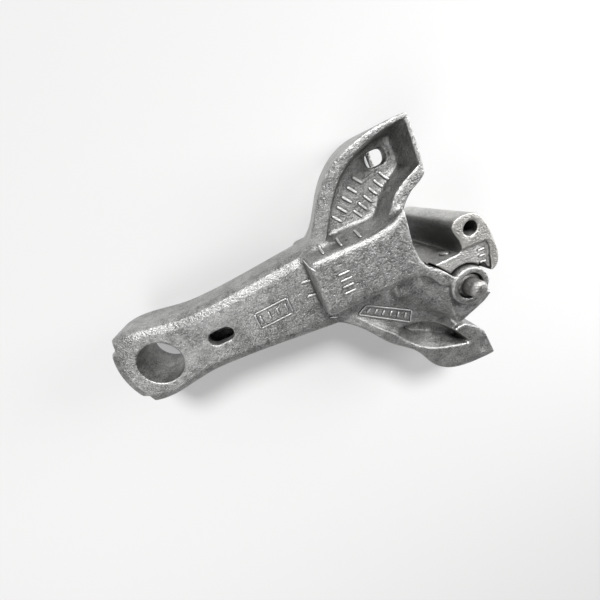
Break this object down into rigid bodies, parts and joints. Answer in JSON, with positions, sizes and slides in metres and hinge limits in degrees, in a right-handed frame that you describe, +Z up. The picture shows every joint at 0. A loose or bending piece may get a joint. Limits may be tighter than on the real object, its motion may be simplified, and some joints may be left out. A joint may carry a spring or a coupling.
{
  "type": "railway knuckle coupler",
  "caption": "Rigid-shank railway knuckle coupler: cast head with guard arm and aligning wing, swinging knuckle on a vertical pin, and a lock raised from below.",
  "frame": {"origin": "centre of the shank pin bore, at mid height of the shank", "axes": "+X along the shank towards the knuckle, +Y towards the guard arm, +Z up along the pin bore"},
  "size_m": [0.9389, 0.6682, 0.334],
  "materials": {
    "cast_steel": "as cast, shot blasted",
    "knuckle_steel": "as cast, contact faces worn bright",
    "pin_steel": "forged, dark scale",
    "lock_steel": "as cast",
    "forged_steel": "forged",
    "bright_steel": "machined"
  },
  "bodies": {
    "coupler_body": {"coupler_body": "cast_steel", "knuckle_pin": "pin_steel", "pin_cotter": "bright_steel", "lever_pin": "pin_steel"},
    "knuckle": {"knuckle": "knuckle_steel"},
    "lock": {"lock": "lock_steel", "toggle_rivet": "bright_steel"},
    "knuckle_thrower": {"knuckle_thrower": "lock_steel"},
    "lock_lift_lever": {"lock_lift_lever": "forged_steel", "lever_rivet": "bright_steel"},
    "lock_lift_toggle": {"lock_lift_toggle": "forged_steel", "connector_rivet": "bright_steel"},
    "lock_lift_connector": {"lock_lift_connector": "forged_steel"}
  },
  "joints": [
    {"name": "knuckle_swing", "type": "hinge", "parent": "coupler_body", "child": "knuckle", "pos_m": [0.74422, -0.10998, 0], "axis": [0, 0, -1], "range_deg": [0, 45]},
    {"name": "lock_lift", "type": "slide", "parent": "coupler_body", "child": "lock", "axis": [0, 0, 1], "range_m": [0, 0.092]},
    {"name": "thrower_turn", "type": "hinge", "parent": "coupler_body", "child": "knuckle_thrower", "pos_m": [0.56922, -0.10498, 0], "axis": [0, 0, 1], "range_deg": [0, 35.15]},
    {"name": "lever_turn", "type": "hinge", "parent": "coupler_body", "child": "lock_lift_lever", "pos_m": [0.5, 0.02, -0.088], "axis": [0, -1, 0], "range_deg": [0, 70.25]},
    {"name": "toggle_tilt", "type": "hinge", "parent": "lock", "child": "lock_lift_toggle", "pos_m": [0.578, 0.02, -0.06], "axis": [0, 1, 0], "range_deg": [0, 8]},
    {"name": "connector_tilt", "type": "hinge", "parent": "lock_lift_toggle", "child": "lock_lift_connector", "pos_m": [0.578, 0.02, -0.09], "axis": [0, -1, 0], "range_deg": [0, 8]}
  ],
  "couplings": [
    {"joint": "lock_lift", "follows": "knuckle_swing", "m_per_rad": 0.11713},
    {"joint": "thrower_turn", "follows": "knuckle_swing", "ratio": 0.78},
    {"joint": "lever_turn", "follows": "knuckle_swing", "ratio": 1.56},
    {"joint": "toggle_tilt", "follows": "knuckle_swing", "ratio": 0.1777},
    {"joint": "connector_tilt", "follows": "knuckle_swing", "ratio": 0.1777}
  ]
}
